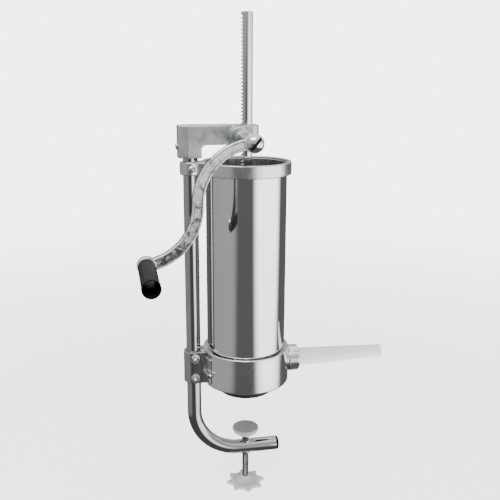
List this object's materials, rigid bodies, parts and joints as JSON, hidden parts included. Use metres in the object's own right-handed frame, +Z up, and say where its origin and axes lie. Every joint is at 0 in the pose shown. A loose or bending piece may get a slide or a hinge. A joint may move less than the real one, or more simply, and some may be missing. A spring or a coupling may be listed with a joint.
{
  "type": "sausage stuffer",
  "caption": "Vertical sausage stuffer with a table clamp: steel cylinder in a cast cup and ring, rack-driven piston, cranked pinion head and screwed-on filling tube.",
  "frame": {"origin": "centre of the foot's underside, on the cylinder's axis, level with the table top it rests on", "axes": "+Z up along the cylinder and the rack, +X from the post towards the filling tube, -Y towards the crank's side"},
  "size_m": [0.36, 0.267, 0.6803],
  "materials": {
    "chrome_tube": "bright chrome plate",
    "polished_steel": "polished stainless steel",
    "steel": "bright zinc-plated steel",
    "polished_aluminium": "polished cast aluminium",
    "cast_aluminium": "tumbled cast aluminium, matt and slightly grained",
    "bronze": "plain bearing bronze",
    "black_plastic": "satin black",
    "black_rubber": "matt black",
    "grey_plastic": "light grey, slightly translucent",
    "white_plastic": "natural white, slightly translucent",
    "silicone": "translucent food-grade silicone"
  },
  "bodies": {
    "frame": {"frame_tube": "chrome_tube", "leg_end_plug": "black_plastic", "clamp_sleeve": "steel", "base_cup": "polished_aluminium", "base_foot": "black_rubber", "foot_stud": "steel", "post_saddle": "steel", "saddle_bolt_lower": "steel", "saddle_washer_lower": "steel", "saddle_nut_lower": "steel", "saddle_bolt_upper": "steel", "saddle_washer_upper": "steel", "saddle_nut_upper": "steel", "locking_pin": "steel", "cylinder_gasket": "silicone", "cylinder": "polished_steel", "ring_holder": "cast_aluminium", "ring_clamp_screw": "steel", "head_casting": "cast_aluminium", "head_clamp_screw": "steel", "bearing_cap": "cast_aluminium", "cap_screw_1": "steel", "cap_screw_2": "steel", "front_bush": "bronze", "rear_bush": "bronze", "spout_seal": "silicone"},
    "rack_and_piston": {"rack": "polished_steel", "piston_lower_plate": "white_plastic", "piston_seal": "silicone", "piston_upper_plate": "white_plastic", "piston_nut": "steel"},
    "crank": {"pinion_gear": "steel", "pinion_shaft": "polished_steel", "crank_arm": "polished_aluminium", "crank_washer": "steel", "crank_cap_screw": "polished_steel", "grip_bolt": "steel", "grip_washer": "steel"},
    "grip": {"grip": "black_plastic"},
    "filling_tube": {"filling_tube": "white_plastic"},
    "spout_nut": {"spout_nut": "polished_aluminium"},
    "clamp_pad": {"clamp_pad": "grey_plastic"},
    "clamp_screw": {"clamp_spindle": "steel", "pad_clip": "steel", "star_knob": "grey_plastic", "knob_nut": "steel"}
  },
  "joints": [
    {"name": "rack_slide", "type": "slide", "parent": "frame", "child": "rack_and_piston", "axis": [0, 0, 1], "range_m": [-0.123, 0.147]},
    {"name": "crank_turn", "type": "hinge", "parent": "frame", "child": "crank", "pos_m": [-0.0133, 0, 0.364], "axis": [0, 1, 0], "range_deg": [-1123.2, 939.9]},
    {"name": "grip_spin", "type": "hinge", "parent": "crank", "child": "grip", "pos_m": [-0.1425, -0.16, 0.222], "axis": [0, 1, 0], "continuous": true},
    {"name": "clamp_slide", "type": "slide", "parent": "frame", "child": "clamp_pad", "axis": [0, 0, 1], "range_m": [-0.006, 0.037]},
    {"name": "clamp_turn", "type": "hinge", "parent": "clamp_pad", "child": "clamp_screw", "pos_m": [0, 0, -0.1], "axis": [0, 0, 1], "range_deg": [-1441, 8881]},
    {"name": "tube_slide", "type": "slide", "parent": "frame", "child": "filling_tube", "axis": [1, 0, 0], "range_m": [0, 0.009]},
    {"name": "nut_turn", "type": "hinge", "parent": "filling_tube", "child": "spout_nut", "pos_m": [0.07, 0, 0.041], "axis": [1, 0, 0], "range_deg": [-1, 1081]}
  ],
  "couplings": [
    {"joint": "crank_turn", "follows": "rack_slide", "rad_per_m": -133.33},
    {"joint": "clamp_turn", "follows": "clamp_slide", "rad_per_m": 4188.8},
    {"joint": "nut_turn", "follows": "tube_slide", "rad_per_m": 2094.4}
  ]
}
